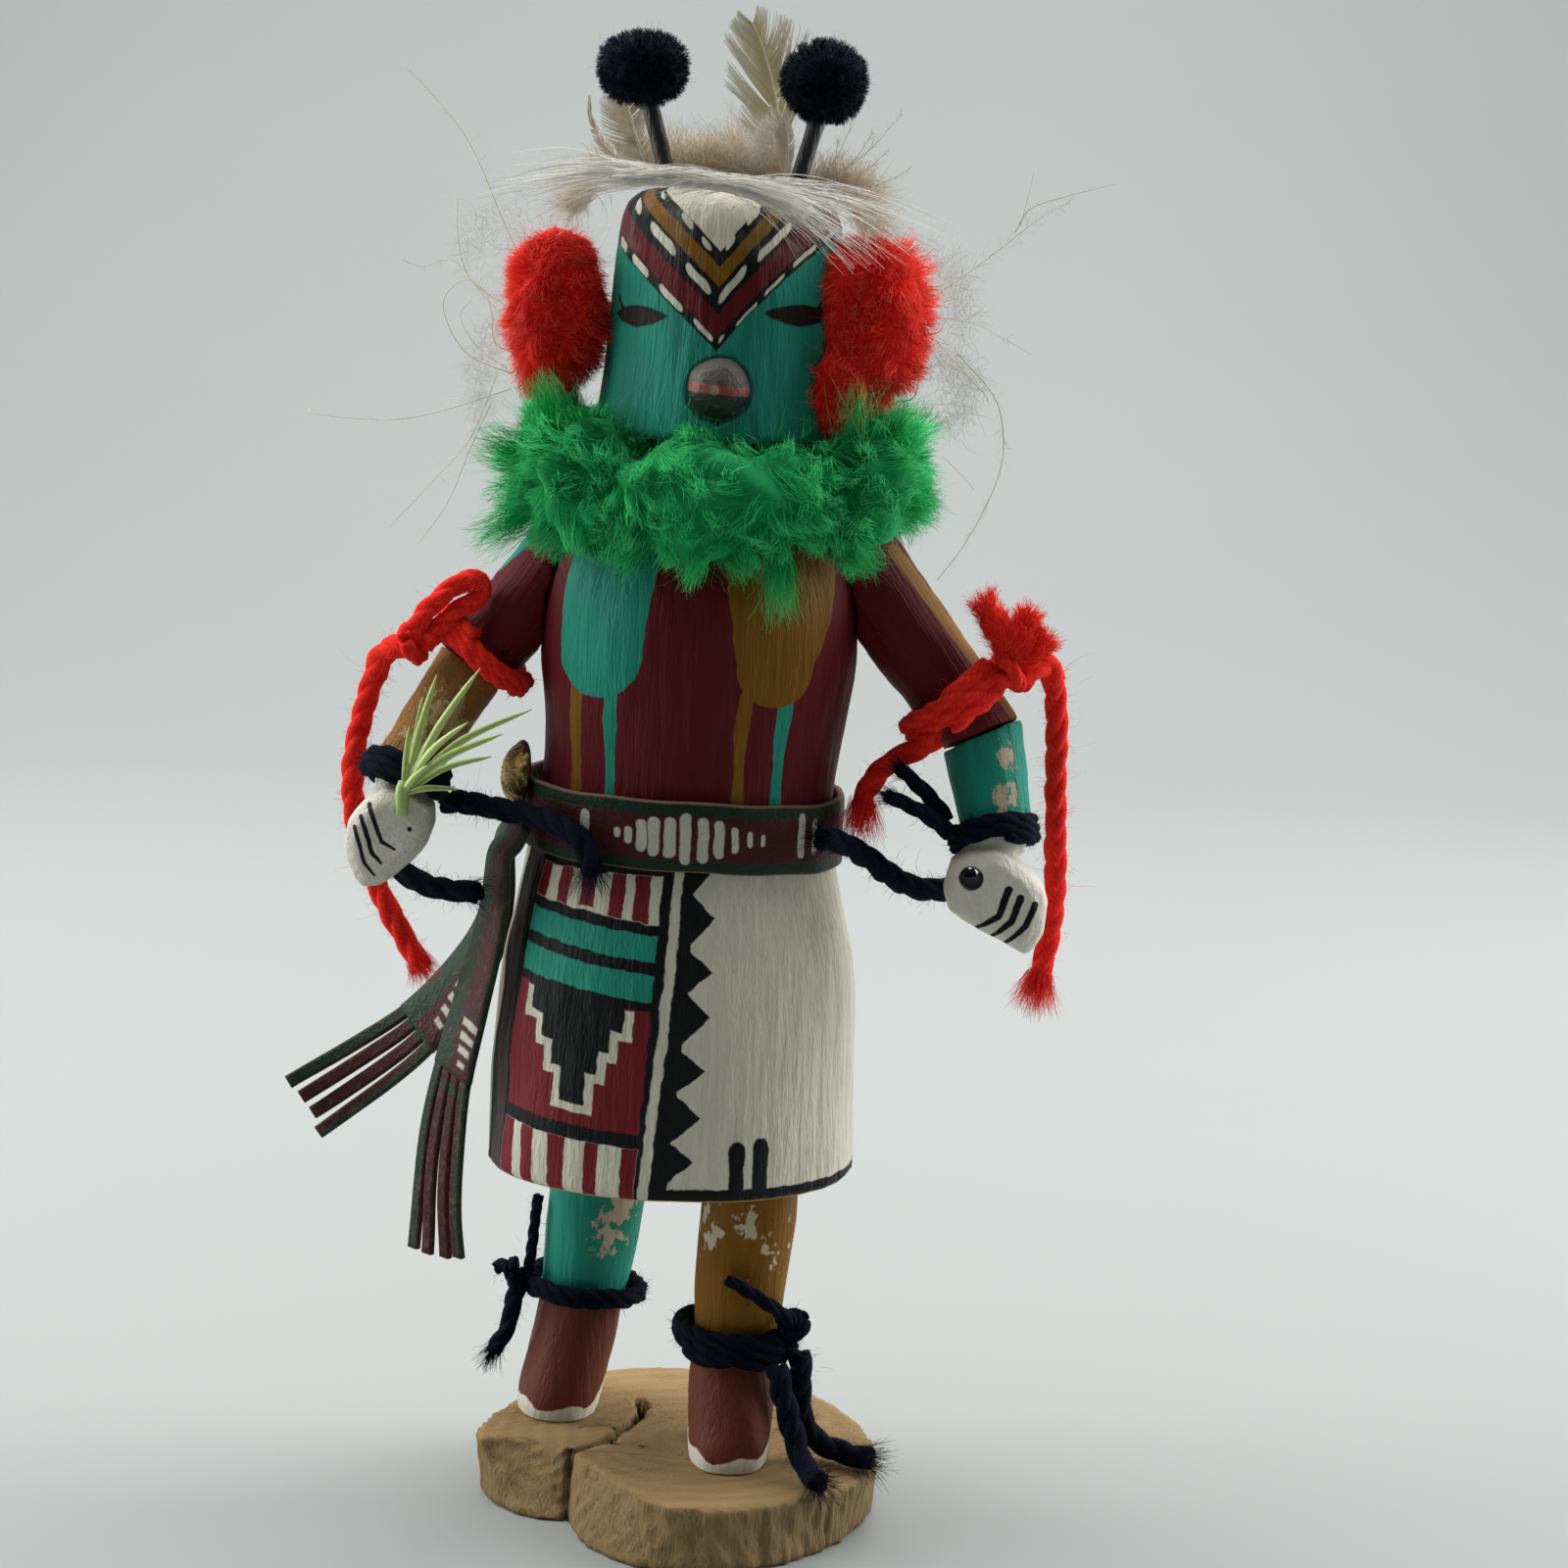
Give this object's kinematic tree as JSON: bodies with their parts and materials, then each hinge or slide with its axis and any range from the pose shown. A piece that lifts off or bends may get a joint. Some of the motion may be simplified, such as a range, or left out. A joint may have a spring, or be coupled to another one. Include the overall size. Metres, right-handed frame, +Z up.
{
  "type": "kachina doll",
  "caption": "Carved and painted wooden doll with a mask, kilt and bent arms, trimmed with wool, yarn, painted leather and feathers, standing on a slice of wood.",
  "frame": {"origin": "on the underside of the wood slice, straight below the figure's neck", "axes": "+Z up the figure; the figure faces -Y and its own left hand is at +X"},
  "size_m": [0.1647, 0.0864, 0.307],
  "materials": {
    "kilt_and_torso_paint": "matt painted cottonwood, maroon torso over a cream kilt with painted panel",
    "mask_paint": "matt turquoise painted wood with chevrons",
    "arm_paint": "matt maroon painted wood",
    "hand_paint": "matt off-white painted wood with black finger strokes",
    "mouth_paint": "worn black and pink painted wood",
    "base_wood": "bare sawn wood with growth rings",
    "rod_paint": "thin dowel painted black",
    "belt_leather": "painted leather, maroon with green edges",
    "sash_leather": "painted split leather with pale suede edges",
    "concho_metal": "aged brass with a dark patina",
    "red_wool": "brushed red wool and red knitting yarn",
    "green_wool": "brushed green wool",
    "navy_yarn": "navy knitting yarn",
    "feather": "white and cream down and vaned feather",
    "leaf_plastic": "soft light-green artificial leaf"
  },
  "bodies": {
    "root": {"body": "kilt_and_torso_paint", "head": "mask_paint", "upper_arm_left": "arm_paint", "upper_arm_right": "arm_paint", "forearm_left": "hand_paint", "forearm_right": "hand_paint", "mouth_peg": "mouth_paint", "base": "base_wood", "antenna_left": "rod_paint", "antenna_right": "rod_paint", "belt": "belt_leather", "sash_back": "sash_leather", "sash_front": "sash_leather", "concho": "concho_metal", "ear_left": "red_wool", "ear_right": "red_wool", "armband_left": "red_wool", "armband_right": "red_wool", "armband_left_tail": "red_wool", "armband_right_tail": "red_wool", "ruff": "green_wool", "pompom_left": "navy_yarn", "pompom_right": "navy_yarn", "wristband_left": "navy_yarn", "wristband_right": "navy_yarn", "ankle_yarn_left": "navy_yarn", "ankle_yarn_right": "navy_yarn", "ankle_left_tail": "navy_yarn", "ankle_left_tail_low": "navy_yarn", "waist_yarn_left": "navy_yarn", "waist_yarn_right": "navy_yarn", "waist_yarn_right_low": "navy_yarn", "feather_brow": "feather", "feather_curled": "feather", "feather_down": "feather", "feather_fluff": "feather", "feather_side_left": "feather", "feather_side_right": "feather", "feather_spoon": "feather", "feather_tall": "feather", "sprig": "leaf_plastic"}
  },
  "joints": []
}
